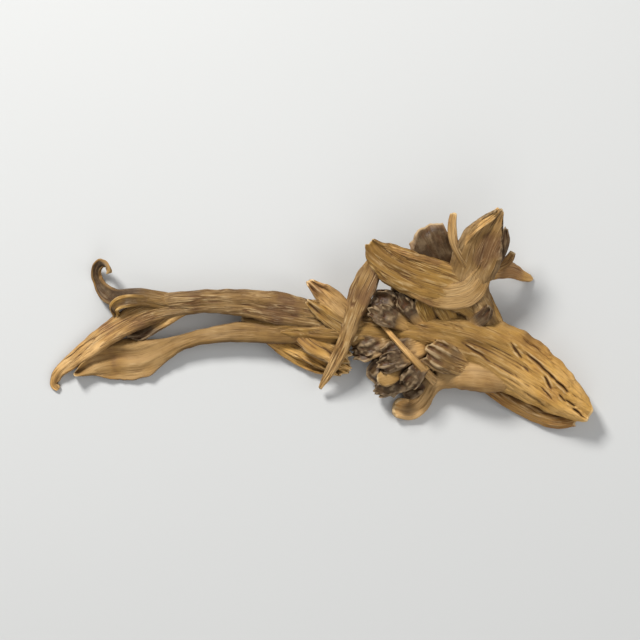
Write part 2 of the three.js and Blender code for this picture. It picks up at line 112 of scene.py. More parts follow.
fronds = {
    "trunk": {
        "grooves": (7, 0.26), "tip": 2.6, "lobes": (2, 0.25), "ruffle": 0, "crease": 0.3, "seed": 0.4,
        "shade": (0, 0, 1, 0, 1), "tone": (0.55, 1.17, 0.53), "gold": 0.62, "lined": 0.35,
        "path": [
            (-18.5, 1, 2.6, 1.4, 0.9, 0, 0), (-9, 0.4, 3.4, 4.6, 2.6, 0, 0),
            (2, -0.4, 3.7, 5.3, 3.9, 0, 0), (12.5, -1, 4.2, 4.6, 3.8, 0, 0),
            (23.5, -2, 4.7, 4.8, 4.3, 4, 0), (33.5, -4.4, 4.8, 6.4, 5, 8, 0),
            (42.5, -8.4, 4.6, 7.8, 5.1, 12, 0), (50.5, -13.4, 4.4, 6.8, 4.7, 14, 0),
            (57.5, -18.6, 3.8, 4.9, 3.6, 12, 0), (61.8, -21.8, 3.3, 3.4, 2.2, 8, 0),
        ],
    },
    "baseFold": {
        "grooves": (3, 0.2), "ruffle": 0.1, "crease": 0.3, "seed": 1.1, "shade": (0, 0.1, 0.6, 0.1, 1),
        "tone": (1, 1.1, 0.5), "russet": 0.35,
        "path": [
            (35, -12.6, 3, 1.4, 1.4, 0, 0), (41.5, -16.6, 1.8, 2.2, 1.4, 20, 0),
            (48, -20.4, 1.4, 2.4, 1.3, 30, 0), (54, -22.6, 1.6, 2.4, 1.3, 20, 0),
            (59.2, -22.6, 2.4, 1.7, 1.2, 0, 0),
        ],
    },
    "upperArm": {
        "grooves": (5, 0.22), "tip": 0.5, "lobes": (1, 0.1), "ruffle": 0.1, "crease": 0.26, "seed": 2.3,
        "shade": (0, 0.05, 0.8, 0.1, 1), "tone": (0.46, 0.99, 0.36), "gold": 0.1, "lined": 0.85,
        "path": [
            (1, 1, 4.8, 3, 2.2, 0, 0), (-9.5, 2.8, 4.8, 3.9, 2.4, 0, 0),
            (-19.5, 4.4, 4.6, 3.1, 1.9, -12, 10), (-28.5, 4.5, 4.2, 2.8, 1.6, -20, 20),
            (-37, 3.2, 3.6, 3.1, 1.4, -10, 30), (-44.3, 0.3, 3, 3, 1.2, 6, 35),
            (-51, -4, 2.4, 2.6, 1.1, 14, 35), (-56.8, -8.4, 1.8, 2, 0.9, 10, 40),
            (-60.9, -11.6, 1.1, 1.4, 0.8, 0, 30), (-62.2, -14.4, 0.5, 1.1, 0.7, 0, 10),
            (-61.2, -15.8, 0.4, 0.8, 0.6, 0, 0),
        ],
    },
    "lowerArm": {
        "grooves": (4, 0.1), "pleats": (2, 0.35), "frill": (2, 0.5), "tip": 1.2, "lobes": (1, 0.3),
        "ruffle": 0.2, "crease": 0.08, "seed": 3.1, "shade": (0, 0, 1, 0, 1), "tone": (0.48, 0.6, 0.4),
        "gold": 0.25, "lined": 0.22,
        "path": [
            (1.5, -1.6, 3.8, 2.6, 2.2, 0, 0), (-9, -2.4, 3.6, 2.8, 2, 0, 0),
            (-19, -2.4, 3.2, 2.4, 1.4, 10, 10), (-27, -3.4, 3, 1.9, 1, 16, 20),
            (-33, -5, 2.6, 1.9, 0.9, 10, 20), (-37.5, -6.9, 1.8, 3.1, 0.8, 4, 10),
            (-42.5, -8.6, 0.9, 4.9, 0.7, 0, 16), (-48, -9, 0.7, 4.8, 0.6, -4, 12),
            (-52.8, -10, 1.3, 3.8, 0.5, -4, 12), (-57.2, -12.2, 2.2, 1.3, 0.45, 0, 10),
        ],
    },
    "leftCurl": {
        "grooves": (3, 0.15), "frill": (3, 0.2), "tip": 0.3, "lobes": (1, 0.1), "ruffle": 0.2,
        "crease": 0.12, "seed": 0.9, "shade": (0.25, 0.88, 0.06, 0.42, 0.7), "tone": (0.6, 1.1, 0.3),
        "gold": 0.5,
        "path": [
            (-29, 4.3, 4, 1.4, 0.9, 0, 0), (-36.5, 5.2, 4.4, 1.7, 0.9, 10, 20),
            (-42.4, 6, 4.8, 1.8, 0.7, 20, 40), (-47.2, 5.4, 3.2, 2.1, 0.65, 20, 60),
            (-50.4, 7, 1.3, 1.9, 0.6, 10, 70), (-52, 9.8, 0.5, 1.4, 0.6, 0, 70),
            (-52.2, 12.2, 1.6, 1.2, 0.5, 0, 60), (-50.9, 13.6, 3.4, 1.1, 0.5, 0, 40),
            (-49.5, 12.9, 4.8, 0.9, 0.45, 0, 20), (-48.9, 11.2, 5, 0.6, 0.45, 0, 0),
        ],
    },
    "innerCurl": {
        "grooves": (3, 0.12), "frill": (2, 0.3), "tip": 0.4, "lobes": (1, 0.2), "seed": 1.7,
        "shade": (0.4, 0.7, 0.1, 0, 0.7), "tone": (0.6, 1, 0.3), "gold": 0.9,
        "path": [
            (-35, 3.6, 3.8, 1.2, 0.8, 0, 0), (-41.4, 4.8, 5.4, 1.3, 0.6, 0, 40),
            (-45.6, 4.6, 5.7, 1.5, 0.5, 0, 70), (-47.9, 3.2, 4.6, 1.3, 0.45, 0, 80),
            (-47.3, 1.6, 3.2, 0.8, 0.4, 0, 60),
        ],
    },
    "underFrill": {
        "pleats": (2, 0.25), "frill": (3, 0.4), "seed": 2.9, "shade": (0.1, 0.85, 0.3, 0.9, 0.6),
        "gold": 0.3,
        "path": [
            (-30.5, 3.4, 3.8, 1.2, 0.8, 0, 0), (-37, 0.3, 2.6, 1.9, 0.6, 10, 20),
            (-42, -2.2, 1.5, 2.2, 0.45, 10, 30), (-45, -3.3, 1.3, 1.3, 0.4, 0, 20),
        ],
    },
    "raggedLow": {
        **ragged, "seed": 0.2, "shade": (0, 0.1, 0.7, 0.2, 1), "tone": (1.1, 1.75, 0.4),
        "path": [
            (-13, -2.2, 3.2, 2, 1.3, 0, 0), (-9, -4.8, 2.4, 2.8, 0.9, 10, 10),
            (-3.6, -7.5, 1.4, 3.5, 0.65, 10, 20), (2.2, -9.7, 0.9, 3.1, 0.5, 0, 30),
            (6, -11.4, 1.9, 1.8, 0.45, 0, 30),
        ],
    },
    "raggedHigh": {
        **ragged, "seed": 1.4, "shade": (0.15, 0.2, 0.6, 0.35, 1), "tone": (0.8, 1.15, 0.4), "gold": 0.5,
        "path": [
            (-5, -1.2, 4, 2, 1.2, 0, 0), (-2, -4.4, 5.2, 3.2, 0.8, -10, 10),
            (2.4, -6.8, 4.8, 3.1, 0.6, -10, 10), (6.4, -8.8, 4.2, 2, 0.45, 0, 10),
        ],
    },
    "crossingStrand": {
        "grooves": (3, 0.2), "tip": 0.3, "lobes": (1, 0.05), "ruffle": 0.12, "crease": 0.16, "seed": 0.6,
        "shade": (0.1, 0.1, 0.6, 0.15, 1), "tone": (0.56, 0.9, 0.45), "gold": 0.15, "lined": 0.8,
        "path": [
            (12.4, 13.4, 9.2, 2.2, 0.6, 0, 20), (10.2, 9.2, 9.4, 2.9, 0.7, 10, 30),
            (8.4, 5, 8.8, 2.7, 0.8, 10, 30), (6.9, 0.6, 8.1, 2.1, 0.9, 10, 30),
            (5.4, -4, 7.2, 1.7, 0.8, 0, 40), (3.6, -8.2, 6, 1.5, 0.7, 0, 40),
            (1.5, -12.2, 4.2, 1.1, 0.6, 0, 30), (-0.4, -15.5, 2.2, 0.5, 0.45, 0, 0),
        ],
    },
    "paleStrand": {
        "pleats": (2, 0.4), "lobes": (1, 0.2), "ruffle": 0.15, "crease": 0.12, "seed": 1.9,
        "shade": (0.05, 0.05, 0.7, 0, 1), "tone": (0.8, 1.3, 0.3), "gold": 0,
        "path": [
            (9.6, -1.8, 6, 1.8, 1.2, 0, 0), (5.2, 2.4, 7.8, 2.4, 0.8, -10, 20),
            (1, 6.2, 8.6, 2.5, 0.65, -16, 30), (-1, 7.6, 9.4, 1.8, 0.55, -10, 40),
            (-3, 9.2, 10.6, 1, 0.45, 0, 30),
        ],
    },
    "bridgingStrand": {
        "tip": 0.3, "lobes": (1, 0.05), "ruffle": 0.08, "seed": 2.7, "shade": (0, 0.1, 0.6, 0.1, 1),
        "tone": (0.9, 1.3, 0.3), "gold": 0.05,
        "path": [
            (27.2, -14.6, 2.6, 1.3, 0.8, 0, 0), (23.8, -11.4, 7.2, 0.95, 0.6, 0, 20),
            (19.8, -7.4, 9.2, 0.7, 0.5, 0, 30), (16.2, -3.4, 9.4, 0.6, 0.45, 0, 20),
            (12.4, 1.2, 7.4, 0.6, 0.5, 0, 0),
        ],
    },
    "lobeArm": {
        "grooves": (3, 0.05), "frill": (2, 0.3), "tip": 0.9, "lobes": (1, 0.3), "ruffle": 0.15,
        "crease": 0.04, "seed": 0.8, "shade": (0, 0.66, 0.66, 0, 0), "tone": (0.72, 1.1, 0.55), "gold": 0,
        "lined": 0.06,
        "path": [
            (43.4, -13.6, 4.2, 2.6, 2.8, 0, 0), (38, -12.1, 5.2, 4.5, 3.4, 0, 0),
            (32.4, -11.5, 5.2, 4.3, 3.1, -4, 0), (28.4, -12.6, 3.8, 3.1, 2.2, -8, 0),
            (25.9, -14.6, 2.8, 2, 1.4, 0, 10), (24.6, -16.9, 2, 1.7, 1, 0, 20),
            (22.8, -19.2, 1.1, 2.2, 0.8, 0, 50), (20, -20.4, 0.6, 2.7, 0.7, 0, 80),
            (16.6, -19.8, 1.6, 2.4, 0.5, 0, 70),
        ],
    },
    "darkCapWide": {
        **smallCap, "pleats": (3, 0.15), "tip": 2.2, "lobes": (2, 0.5), "ruffle": 0.5, "droop": 1.2,
        "crumple": 0.6, "seed": 0.3,
        "path": [
            (29.5, -7.4, 4.6, 1.6, 1.3, 0, 0), (24.2, -8.8, 5.8, 3.2, 0.85, 0, 0),
            (18.8, -10.6, 6.2, 5.1, 0.65, 0, -10), (14, -12.3, 5.4, 5.7, 0.5, 0, -20),
            (10.8, -13.5, 3.8, 4.7, 0.45, 0, -20),
        ],
    },
    "darkCapLow": {
        **smallCap, "tip": 1.6, "crumple": 0.62, "seed": 1.2,
        "path": [
            (28, -8.6, 3.8, 1.5, 1.2, 0, 0), (24.2, -12, 2.8, 2.9, 0.8, 0, 0),
            (20.4, -14.8, 1.8, 3.4, 0.6, 0, 20), (17.6, -16.2, 1.6, 2.6, 0.45, 0, 30),
        ],
    },
    "darkCapHigh": {
        **smallCap, "tip": 1.6, "droop": 0.9, "crumple": 0.62, "seed": 2.1,
        "shade": (0.2, 0.95, 0.3, 1, 0.45),
        "path": [
            (27.5, -4.6, 5.6, 1.5, 1.2, 0, 0), (21.4, -6, 7.4, 2.6, 0.8, 0, 10),
            (16.8, -7.6, 8.4, 3.3, 0.6, 0, 20), (13.4, -9, 8.6, 2.7, 0.45, 0, 30),
        ],
    },
    "greyCap": {
        **smallCap, "tip": 1.4, "ruffle": 0.4, "droop": 0.9, "seed": 3.3,
        "shade": (0.2, 0.82, 0.3, 0.8, 0.4), "gold": 0,
        "path": [
            (19.5, -2.2, 5.2, 1.4, 1.1, 0, 0), (14.4, -3.5, 6.6, 2.6, 0.8, 0, 10),
            (9.8, -4.8, 6.2, 3.2, 0.6, 0, 0), (7, -5.8, 4.9, 2.4, 0.45, 0, -20),
        ],
    },
    "topCapLeft": {
        **smallCap, "pleats": (3, 0.15), "tip": 1.8, "seed": 0.7,
        "path": [
            (23, -0.8, 5.8, 1.5, 1.2, 0, 0), (18.4, 1.8, 8, 3, 0.8, 0, 20),
            (14.2, 3.7, 9, 3.9, 0.6, 0, 40), (11, 5, 8.8, 3.3, 0.45, 0, 50),
        ],
    },
    "topCapBack": {
        **smallCap, "tip": 1.4, "droop": 0.6, "seed": 1.6, "shade": (0.2, 0.95, 0.3, 1, 0.45),
        "path": [
            (23.5, 0, 5.8, 1.5, 1.2, 0, 0), (20, 4.8, 8, 3.1, 0.7, 0, 20),
            (17, 8.6, 8.6, 3.1, 0.5, 0, 40),
        ],
    },
    "ribbedCap": {
        "grooves": (3, 0.1), "pleats": (4, 0.4), "frill": (2, 0.4), "tip": 1, "lobes": (2, 0.4),
        "droop": 0.6, "crumple": 0.25, "crease": 0.16, "seed": 0.1, "shade": (0.15, 0.58, 0.2, 0.5, 0.6),
        "tone": (0.75, 0.85, 0.4), "gold": 0.3, "lined": 0.9,
        "path": [
            (34, -11, 6.4, 1.6, 1.4, 0, 0), (30.4, -9.4, 8.4, 3, 0.9, -10, -10),
            (27, -7.8, 9.2, 3.7, 0.7, -10, -20), (24, -6.2, 8.7, 3.1, 0.5, -10, -20),
        ],
    },
    "fan": {
        "grooves": (4, 0.1), "pleats": (3, 0.2), "frill": (2, 0.5), "tip": 0.8, "lobes": (1, 0.2),
        "ruffle": 0.2, "droop": -0.5, "crease": 0.26, "seed": 0.5, "shade": (0.05, 0.1, 0.5, 0, 0.9),
        "tone": (0.64, 0.53, 0.5), "gold": 0.7, "lined": 0.75,
        "path": [
            (39.5, -2.5, 5.2, 3, 2.2, 0, 0), (35.2, 4.2, 7.4, 4.2, 1.7, 8, -10),
            (29.2, 7.8, 10.2, 4.9, 1.1, 14, -25), (22.8, 9.8, 12.4, 5.2, 0.8, 14, -35),
            (17, 12.4, 13.4, 4.8, 0.65, 8, -30), (12.8, 15.4, 13.2, 3.4, 0.5, 0, -20),
            (10.9, 18, 12.4, 1.5, 0.45, 0, -10),
        ],
    },
    "tallStem": {
        "grooves": (4, 0.2), "pleats": (2, 0.3), "frill": (2, 0.4), "tip": 0.9, "lobes": (1, 0.3),
        "ruffle": 0.3, "crease": 0.16, "seed": 1.3, "shade": (0, 0.12, 0.6, 0.35, 0.9),
        "tone": (0.46, 0.52, 0.5), "gold": 0.15, "lined": 0.55,
        "path": [
            (39, -3.5, 5.2, 2.8, 2.2, 0, 0), (35.6, 3, 7.4, 3.7, 2, -8, 0),
            (33.6, 9, 9.4, 4.7, 1.4, -14, 15), (34.9, 14.2, 11.2, 5.9, 1, -14, 35),
            (36.4, 18.8, 12.8, 5.2, 0.75, -10, 50), (38.4, 22.4, 14.2, 3.4, 0.6, -6, 50),
            (40.2, 25.2, 15.4, 1.5, 0.45, 0, 30),
        ],
    },
    "twig": {
        "grooves": (3, 0.2), "tip": 0.4, "lobes": (1, 0.1), "ruffle": 0.1, "crease": 0.14, "seed": 2.2,
        "shade": (0, 0.2, 0.8, 0.1, 1), "tone": (0.92, 1.2, 0.4), "gold": 0.2, "lined": 0.4,
        "path": [
            (33, 9.6, 8.8, 2.2, 1.5, 0, 0), (38.5, 12, 8.4, 2.6, 1.2, 10, 10),
            (43, 12, 5.6, 2.1, 0.9, 0, 20), (46.4, 10.7, 2.2, 1.35, 0.7, 0, 20),
            (48.8, 10, 0.1, 0.9, 0.6, 0, 0),
        ],
    },
    "twigProng": {
        "tip": 0.3, "lobes": (1, 0.1), "ruffle": 0.1, "crease": 0.08, "seed": 2.6,
        "shade": (0, 0.2, 0.7, 0.1, 1), "tone": (0.6, 0.8, 0.4), "gold": 0.4,
        "path": [
            (39, 11.8, 8, 1.3, 0.9, 0, 0), (42.4, 13.8, 8, 1.1, 0.7, 0, 20),
            (43.7, 15.9, 8.8, 0.7, 0.45, 0, 20),
        ],
    },
    "darkNib": {
        "frill": (1, 0.3), "tip": 0.4, "lobes": (1, 0.2), "crumple": 0.4, "seed": 1.8,
        "shade": (0.3, 1, 0.2, 1, 0.7), "tone": (0.6, 1, 0.4), "gold": 0.1,
        "path": [
            (33.5, -1.4, 6.8, 1.4, 1, 0, 0), (35.8, 0.2, 8.6, 1.6, 0.7, 0, 20),
            (37.4, 1.8, 9.6, 1.5, 0.5, 0, 40), (38.3, 3.5, 10.4, 0.9, 0.45, 0, 40),
        ],
    },
    "goldCapLeft": {
        **goldCap, "seed": 0.9, "gold": 1,
        "path": [
            (25.6, -1.2, 6.2, 1.5, 1, 0, 0), (23.6, 2.6, 8.8, 2.4, 0.7, 0, 20),
            (22.4, 5.6, 9.8, 2.3, 0.5, 0, 30),
        ],
    },
    "goldCapRight": {
        **goldCap, "seed": 2.4, "gold": 0.9,
        "path": [
            (30.5, -1, 6.6, 1.5, 1, 0, 0), (28, 2.8, 8.6, 2.3, 0.7, 0, 10),
            (26.2, 5.8, 9.4, 2.1, 0.5, 0, 30),
        ],
    },
    "backCap": {
        "grooves": (3, 0.1), "pleats": (2, 0.2), "frill": (2, 0.7), "tip": 1.8, "ruffle": 0.2,
        "droop": 0.4, "crumple": 0.15, "crease": 0.07, "seed": 2, "shade": (0.55, 0.85, 0.1, 0.5, 0.5),
        "tone": (0.8, 0.8, 0.4), "russet": 0.9, "lined": 0.2,
        "path": [
            (31.5, 7.6, 7.2, 1.6, 1.2, 0, 0), (28, 12.4, 8.6, 3.6, 0.8, 0, 10),
            (25.2, 17, 9.6, 5, 0.6, 0, 15), (23, 21.6, 10, 4.4, 0.5, 0, 10),
        ],
    },
    "fanLip": {
        "tip": 0.5, "lobes": (1, 0.1), "ruffle": 0.2, "seed": 1, "shade": (0, 0.05, 0.6, 0, 1),
        "tone": (0.9, 1.1, 0.3), "gold": 0.3,
        "path": [
            (30, 12, 10.6, 0.6, 0.5, 0, 0), (25, 13.5, 12.6, 0.8, 0.45, -20, 60),
            (19.6, 15, 14, 0.9, 0.45, -30, 90), (14.4, 16.8, 14, 0.6, 0.4, -30, 90),
        ],
    },
    "fanWeb": {
        "grooves": (3, 0.1), "pleats": (2, 0.1), "tip": 1.2, "lobes": (1, 0.2), "ruffle": 0.15,
        "crease": 0.14, "seed": 2.2, "shade": (0, 0, 1, 0, 1), "tone": (0.66, 0.64, 0.4), "gold": 0.2,
        "lined": 0.45,
        "path": [
            (16.6, 10.6, 12.6, 1, 0.45, 0, 0), (21.4, 7.6, 12.3, 2.2, 0.5, 0, 0),
            (28, 5.6, 11, 2.9, 0.6, 0, 0), (33.6, 6.8, 10.4, 3, 0.6, 0, 0),
            (36.4, 10.8, 10.8, 2.4, 0.5, 0, 20), (37.4, 14.6, 11.8, 1.2, 0.45, 0, 30),
        ],
    },
    "underStrand": {
        "pleats": (2, 0.3), "tip": 0.8, "crease": 0.12, "seed": 2.5, "shade": (0.3, 0.45, 0.5, 0.3, 1),
        "tone": (0.7, 0.9, 0.3), "gold": 0.7,
        "path": [
            (8, -3.6, 6.4, 1.4, 0.9, 0, 0), (3.4, -0.4, 7.4, 2, 0.6, -20, 20),
            (-0.6, 2.6, 8, 1.8, 0.5, -20, 30), (-3.4, 4.8, 8.2, 0.9, 0.45, -10, 20),
        ],
    },
    "topCapFront": {
        **lobedCap, "pleats": (3, 0.15), "lobes": (3, 0.4), "droop": 0.9, "seed": 3, "gold": 0.3,
        "path": [
            (21, -1.6, 6.4, 1.2, 0.9, 0, 0), (16.8, 0.4, 9, 2.2, 0.6, 10, 20),
            (13.2, 1.8, 10, 2.5, 0.5, 10, 30), (10.8, 3, 9.6, 1.8, 0.45, 10, 30),
        ],
    },
    "topCapRight": {
        **lobedCap, "tip": 1, "lobes": (2, 0.4), "ruffle": 0.4, "droop": 0.6, "seed": 0.8,
        "path": [
            (24, -1.8, 6.4, 1.1, 0.9, 0, 0), (20.8, 1.6, 9.2, 1.6, 0.6, -10, 30),
            (18.6, 4.4, 10.2, 1.9, 0.5, -10, 40), (17.2, 6.6, 10, 1.3, 0.45, 0, 40),
        ],
    },
    "greyCapLow": {
        **lobedCap, "ruffle": 0.4, "droop": 0.7, "seed": 1.1, "shade": (0.2, 0.75, 0.3, 0.4, 0.4),
        "gold": 0,
        "path": [
            (18.6, -4.6, 5.2, 1.3, 1, 0, 0), (13.6, -5.8, 6.2, 2, 0.6, 10, 0),
            (9.6, -7, 5.4, 2.4, 0.5, 10, -10), (6.8, -7.8, 4, 1.7, 0.45, 0, -20),
        ],
    },
    "darkLobeTop": {
        **lobedCap, "pleats": (3, 0.15), "droop": 1, "crumple": 0.62, "seed": 2.8,
        "shade": (0.3, 0.9, 0.2, 1, 0.5), "gold": 0,
        "path": [
            (23.6, -6.6, 6.6, 1.2, 0.9, 0, 0), (18.6, -8.4, 8.4, 2.1, 0.6, 0, 10),
            (14.8, -9.6, 8.8, 2.4, 0.5, 0, 10), (12.4, -10.2, 8, 1.6, 0.45, 0, 0),
        ],
    },
    "darkLobeRight": {
        **lobedCap, "pleats": (3, 0.15), "droop": 1, "crumple": 0.62, "seed": 0.6,
        "path": [
            (25.6, -8.4, 6, 1.2, 0.9, 0, 0), (22.4, -10.8, 7.6, 2, 0.6, 0, 10),
            (20.2, -13.4, 7.6, 2.4, 0.5, 0, 10), (18.8, -15.6, 6.2, 1.7, 0.45, 0, 0),
        ],
    },
    "darkLobeLow": {
        **lobedCap, "crumple": 0.62, "seed": 1.5, "shade": (0.3, 1, 0.2, 0.8, 0.5), "gold": 0.2,
        "path": [
            (21.6, -11.2, 5.4, 1.2, 0.9, 0, 0), (17.4, -13.8, 5.6, 2, 0.6, 0, 10),
            (14.2, -15.4, 4.8, 2.3, 0.5, 0, 10), (12, -16.4, 3.4, 1.5, 0.45, 0, 0),
        ],
    },
    "ochrePatch": {
        "pleats": (1, 0.1), "frill": (1, 0.2), "tip": 0.3, "lobes": (1, 0.05), "ruffle": 0.05,
        "droop": 0.3, "crumple": 0.12, "crease": 0, "seed": 3.4, "shade": (0.3, 0, 0.2, 0.25, 1),
        "tone": (0.6, 0.6, 0.4), "gold": 0.5, "lined": 0.1,
        "path": [
            (18.6, -11.4, 6, 0.9, 0.7, 0, 0), (16.4, -12.4, 7.6, 1.7, 0.5, 0, 10),
            (14.4, -13, 8, 2, 0.45, 0, 10), (12.8, -13.4, 7.6, 1.4, 0.4, 0, 0),
        ],
    },
    "raggedStripLeft": {
        "frill": (2, 0.3), "ruffle": 0.3, "seed": 1.8, "shade": (0, 0.05, 0.6, 0.1, 1),
        "tone": (1.2, 1.6, 0.4), "lined": 1,
        "path": [
            (-10.5, -4.6, 2.4, 1.3, 0.8, 0, 0), (-5.4, -7, 2.8, 1.5, 0.5, -16, 20),
            (-0.6, -9.4, 2.8, 1.4, 0.45, -16, 30), (2.8, -11.4, 3, 0.8, 0.4, 0, 20),
        ],
    },
    "raggedStripRight": {
        "frill": (2, 0.3), "ruffle": 0.3, "seed": 2.7, "shade": (0, 0.1, 0.6, 0.2, 1),
        "tone": (1.2, 1.6, 0.4), "gold": 0.5, "lined": 1,
        "path": [
            (-6, -3.6, 3.4, 1.2, 0.8, 0, 0), (-1.4, -6.6, 3.8, 1.4, 0.5, -10, 20),
            (3, -9, 3.4, 1.5, 0.45, -10, 20), (6.8, -11, 3.2, 0.7, 0.4, 0, 10),
        ],
    },
    "stemRoll": {
        "tip": 0.4, "lobes": (1, 0.1), "ruffle": 0.2, "crease": 0.08, "seed": 0.4,
        "shade": (0, 0, 0.6, 0, 1), "tone": (1, 1.2, 0.3), "gold": 0.2,
        "path": [
            (30.6, 13.8, 10.6, 0.6, 0.5, 0, 0), (32, 18, 13, 0.9, 0.5, -20, 80),
            (35, 21.4, 14.4, 1, 0.45, -20, 100), (38.2, 23.6, 15, 0.9, 0.45, -20, 90),
            (40, 25.4, 15.4, 0.5, 0.4, 0, 40),
        ],
    },
    "stemStrip": {
        "tip": 0.3, "lobes": (1, 0.1), "ruffle": 0.1, "crease": 0.08, "seed": 2.3,
        "shade": (0.1, 0.1, 0.5, 0, 1), "tone": (0.6, 0.8, 0.4), "gold": 0.2,
        "path": [
            (33.4, 11.6, 10.6, 0.8, 0.6, 0, 0), (31.2, 15, 12.2, 0.9, 0.5, 0, 20),
            (29.8, 18.2, 13, 1, 0.45, 0, 20), (29.4, 21.6, 13.2, 1, 0.45, 0, 20),
            (29.8, 24.6, 12.8, 0.8, 0.4, 0, 0),
        ],
    },
    "stemShade": {
        "frill": (2, 0.3), "ruffle": 0.3, "seed": 1.1, "shade": (0.4, 1, 0.1, 1, 0.8), "gold": 0,
        "path": [
            (37.4, 10.8, 9, 1.2, 0.8, 0, 0), (40, 14.6, 11.4, 1.3, 0.5, 10, 40),
            (41.2, 18.2, 13.4, 1.2, 0.45, 10, 60), (41.2, 21.2, 14.4, 0.7, 0.4, 0, 40),
        ],
    },
}

# Fissures torn into the top of a frond: x and y of both ends, width and depth.
fissures = {
    "trunk": [
        (46.0, -6.9, 54.4, -14.1, 0.24, 0.9),
        (53.4, -13.4, 56.4, -16.4, 0.29, 1.0),
        (50.6, -12.3, 52.8, -15.6, 0.22, 0.8),
        (49.8, -14.6, 52.9, -18.0, 0.22, 0.5),
        (43.0, -4.9, 45.8, -8.7, 0.21, 0.7),
        (44.7, -5.3, 46.8, -8.4, 0.17, 0.3),
        (45.0, -9.6, 47.2, -11.4, 0.21, 0.5),
        (54.2, -16.6, 56.2, -18.6, 0.24, 0.7),
        (55.6, -17.8, 58.2, -19.7, 0.21, 0.6),
        (57.4, -19.7, 60.6, -22.0, 0.24, 0.7),
        (31.6, -4.2, 39.2, -10.0, 0.21, 0.4),
        (41.0, -12.2, 46.0, -15.0, 0.21, 0.3),
        (46.0, -15.9, 51.4, -19.6, 0.24, 0.5),
    ],
    "baseFold": [
        (39.6, -15.0, 48.6, -19.2, 0.55, 0.7),
        (48.0, -19.0, 56.4, -22.2, 0.70, 0.9),
    ],
}
tear = {
    "wander": 0.3,  # mm that a fissure strays from a straight line
    "uneven": 0.5,  # how much its width changes, as a share of it
    "lip": 0.16,  # mm that its sides stand up
    "dark": 0.8,  # how much painted shade darkens it inside
}

surface = {
    "cellAcross": 0.28,  # mm between neighbouring points
    "cellAlong": 0.56,
    "fewestRings": 14,
    "fewestColumns": 10,
    "rim": 0.13,  # half thickness left at a margin
    "thinnest": 0.4,  # least half thickness of a cap
    "narrowest": 0.3,  # least half width
    "nibble": 0.08,  # how unevenly a frond narrows, as a share of its width
    "ragged": 0.2,  # how uneven an end is, as a share of the frond's width
    "vein": 0.07,  # how wide a coarse wrinkle is, and a fine one
    "fineVein": 0.1,
    "fineDepth": 0.45,  # depth of a fine wrinkle, of a coarse one's lip, and of the swelling between them,
    "lipHeight": 0.5,  # all as shares of the frond's crease
    "swell": 0.5,
    "buckle": 1.6,  # how far a cap buckles, as a share of its ruffle
    "fineLump": 0.6,  # height of a small lump as a share of a large one's
    "marginShade": 0.5,  # how much painted shade darkens the bare edges
    "weldRings": 2,  # rows of points smoothed each side of where two fronds meet
    "weldTurns": 3,
    "weldSpread": 0.6,  # square mm that one turn evens out
    "colourTurns": 6,  # how far colours spread over a join
    "reliefTurns": 5,
    "shelterRays": 12,
    "shelterReach": 5.0,  # mm, how far off a neighbour still shades a hollow
}

waves = {  # how closely each unevenness repeats, in waves to a mm or to a half width
    "nibble": 0.45, "edge": 0.35, "patchAcross": 1.7, "patchAlong": 0.13,
    "veinAcross": 0.55, "veinAlong": 0.07, "fineAcross": 2.6, "fineAlong": 2.2,
    "swellAcross": 0.3, "swellAlong": 0.22, "ruffleAcross": 2.2, "ruffleAlong": 0.7,
    "buckleAcross": 3.2, "buckleAlong": 0.22, "lump": 0.55, "lumpFine": 2.1,
    "torn": 1.9, "tornFine": 5, "tearPath": 0.35, "tearWidth": 0.9,
}
spans = {  # from where to where along a frond each thing sets in, as shares of its length
    "sheet": (0.3, 0.8), "sheetEnd": (0.7, 1), "end": (0.6, 1), "ruffle": (0.25, 0.6),
    "ruffleEnd": (0.8, 1), "ragged": (0.75, 1), "buckle": (0.3, 0.7), "crumple": (0.2, 0.55),
    "droop": (0.72, 1), "rim": (0.2, 0.45), "rimEnd": (0.88, 1), "thin": (0.25, 0.5),
}


def smoothStep(value, low, high):
    share = min(max((value - low) / (high - low), 0.0), 1.0)
    return share * share * (3 - 2 * share)


def grown(what, v):
    return smoothStep(v, *spans[what])


def stationAt(stations, share):  # a smooth curve through all the stations
    last = len(stations) - 1
    place = min(share * last, last - 1e-9)
    k = int(place)
    s = place - k
    before = stations[k - 1] if k else [2 * a - b for a, b in zip(stations[0], stations[1])]
    after = stations[k + 2] if k < last - 1 else [2 * a - b for a, b in zip(stations[-1], stations[-2])]
    row = []
    for a, b, c, d in zip(before, stations[k], stations[k + 1], after):
        slope, nextSlope, rise = (c - a) / 2, (d - b) / 2, c - b
        bend = 3 * rise - 2 * slope - nextSlope
        row.append(b + slope * s + bend * s**2 + (slope + nextSlope - 2 * rise) * s**3)
    return row


def ringFrames(stations, rings):  # place, direction, way across and way up at each ring
    up = Vector((0, 0, 1))
    frames = []
    travelled = 0.0
    for j in range(rings + 1):
        share = j / rings
        here = Vector(stationAt(stations, share)[:3])
        ahead = Vector(stationAt(stations, min(share + 0.5 / rings, 1))[:3])
        behind = Vector(stationAt(stations, max(share - 0.5 / rings, 0))[:3])
        along = (ahead - behind).normalized()
        up = (up - along * up.dot(along)).normalized()
        halfWidth, halfThick, roll, curl = stationAt(stations, share)[3:]
        turned = up.copy()
        turned.rotate(Quaternion(along, math.radians(roll)))
        if frames:
            travelled += (here - frames[-1]["place"]).length
        frames.append({
            "place": here, "along": along, "up": turned, "across": turned.cross(along).normalized(),
            "halfWidth": max(halfWidth, surface["narrowest"]), "curl": math.radians(curl),
            "halfThick": max(halfThick, surface["thinnest"]), "travelled": travelled,
        })
    return frames


def sectionPoint(u, halfWidth, curl):  # from the middle of a section out to share u, where it turns by curl
    steps = 6
    side = lift = 0.0
    for k in range(steps):
        s = u * (k + 0.5) / steps
        side += math.cos(curl * s * abs(s)) * halfWidth * u / steps
        lift += math.sin(curl * s * abs(s)) * halfWidth * u / steps
    return side, lift, curl * u * abs(u)


